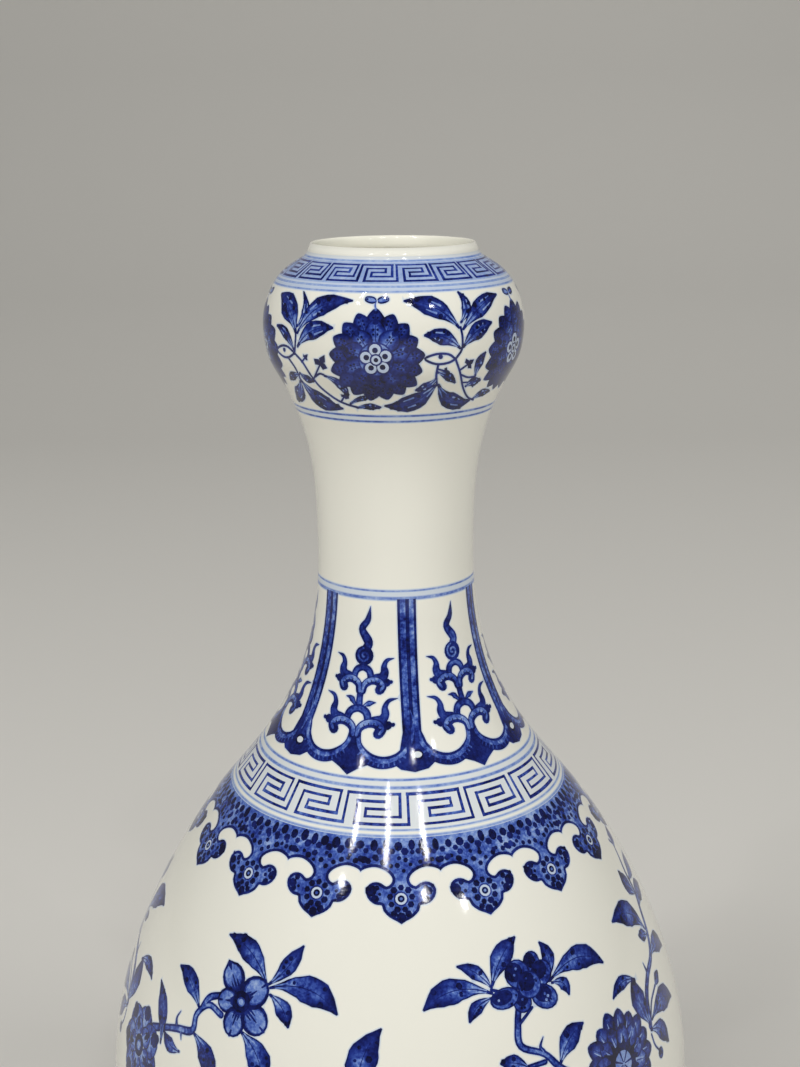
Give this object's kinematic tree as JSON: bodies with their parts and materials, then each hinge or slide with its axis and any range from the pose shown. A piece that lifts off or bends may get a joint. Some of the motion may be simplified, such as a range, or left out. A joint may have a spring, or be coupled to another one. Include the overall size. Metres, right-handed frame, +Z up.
{
  "type": "garlic-mouth vase",
  "caption": "Pear-shaped porcelain bottle vase with a slender neck, a swelling garlic-bulb mouth and a turned foot ring, painted in underglaze blue.",
  "frame": {"origin": "centre of the foot ring's bearing face, on the surface that the vase stands on", "axes": "+Z up along the axis of the vase; -Y faces the picture's camera"},
  "size_m": [0.1544, 0.1544, 0.28],
  "materials": {
    "glazed_porcelain": "clear glossy glaze over white porcelain, with underglaze cobalt painting",
    "bare_biscuit": "unglazed bearing edge, smooth and matt, below a glazed outside wall",
    "luting_slip": "porcelain slip under the same glaze"
  },
  "bodies": {
    "root": {"foot_ring": "bare_biscuit", "luting_slip_foot": "luting_slip", "lower_body": "glazed_porcelain", "luting_slip_girth": "luting_slip", "upper_body": "glazed_porcelain", "luting_slip_shoulder": "luting_slip", "neck": "glazed_porcelain", "luting_slip_bulb_seat": "luting_slip", "bulb_lower": "glazed_porcelain", "luting_slip_bulb": "luting_slip", "bulb_upper": "glazed_porcelain"}
  },
  "joints": []
}
